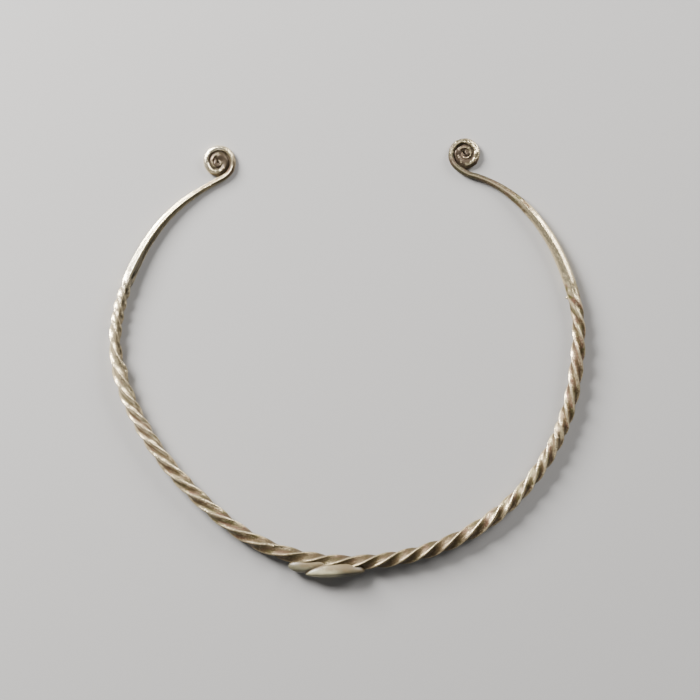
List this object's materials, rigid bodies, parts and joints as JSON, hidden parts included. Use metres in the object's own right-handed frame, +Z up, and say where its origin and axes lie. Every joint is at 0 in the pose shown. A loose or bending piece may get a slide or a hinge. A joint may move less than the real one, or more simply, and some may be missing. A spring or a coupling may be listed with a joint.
{
  "type": "silver torc",
  "caption": "Twisted bar neck ring, open at the front, with plain stems curling outwards into flat spirals and a pale splint at the back.",
  "frame": {"origin": "centre of the bounding box, on the level surface that the torc lies on", "axes": "+Z up, away from the surface it lies on; +X across the ring; +Y towards its open mouth and the spirals"},
  "size_m": [0.1494, 0.1378, 0.0051],
  "materials": {
    "silver": "old silver, worn bright on the ridges, with a warm tan and olive patina in the hollows",
    "pale_resin": "smooth, pale, slightly waxy"
  },
  "bodies": {
    "root": {"torc": "silver", "splint": "pale_resin"}
  },
  "joints": []
}
